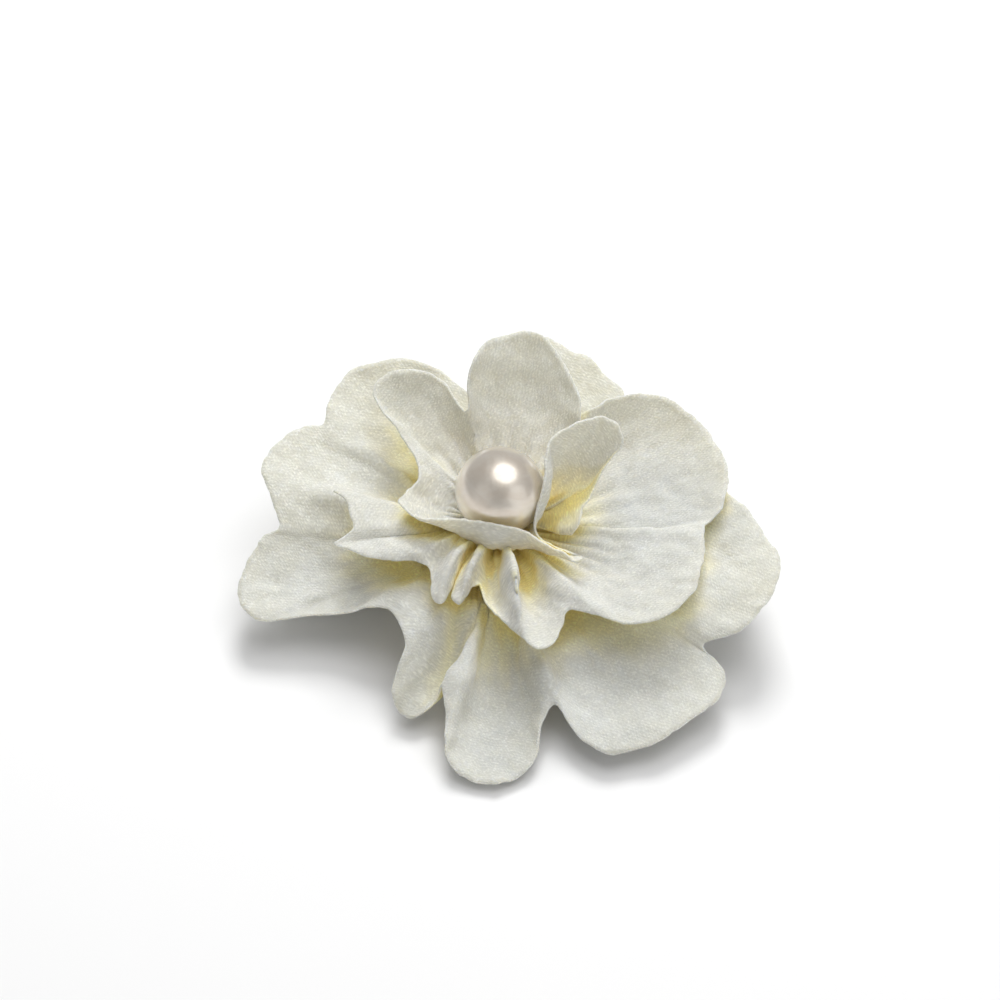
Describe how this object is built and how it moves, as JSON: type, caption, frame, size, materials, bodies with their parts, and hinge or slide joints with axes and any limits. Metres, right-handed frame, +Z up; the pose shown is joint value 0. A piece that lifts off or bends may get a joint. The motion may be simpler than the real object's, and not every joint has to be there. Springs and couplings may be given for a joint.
{
  "type": "flower hair clip",
  "caption": "Sprung metal hair clip carrying a gathered cloth flower with a pearl bead at its centre.",
  "frame": {"origin": "point on the lower arm's flat underside directly below the pearl's centre", "axes": "+Z up from the rest plane to the flower's face, -X to the jaw tips, +X to the thumb tails, +Y to the flower's standing back petals"},
  "size_m": [0.0599, 0.0558, 0.0211],
  "materials": {
    "arm_steel": "nickel-plated sheet steel",
    "pin_steel": "nickel-plated steel",
    "spring_wire": "drawn spring wire",
    "post_wire": "drawn wire",
    "felt": "matte pressed felt",
    "glue": "hot-melt film",
    "petal_cloth": "ivory crepe-back satin",
    "thread": "sewing thread",
    "pearl": "pearlised lacquer"
  },
  "bodies": {
    "lower_jaw": {"lower_arm": "arm_steel", "hinge_pin": "pin_steel"},
    "upper_jaw": {"upper_arm": "arm_steel", "torsion_spring": "spring_wire", "felt_base": "felt", "felt_bridge": "felt", "clip_glue": "glue", "flower_glue": "glue", "outer_petals": "petal_cloth", "middle_petals": "petal_cloth", "inner_petals": "petal_cloth", "outer_gather_thread": "thread", "middle_gather_thread": "thread", "inner_gather_thread": "thread", "pearl_post": "post_wire", "pearl": "pearl"}
  },
  "joints": [
    {"name": "hinge", "type": "hinge", "parent": "lower_jaw", "child": "upper_jaw", "pos_m": [0.015, 0.0016, 0.0039], "axis": [0, 1, 0], "range_deg": [0, 24], "stiffness_Nm_per_rad": 0.12, "springref_deg": -34.38, "deforming": ["torsion_spring"]}
  ]
}
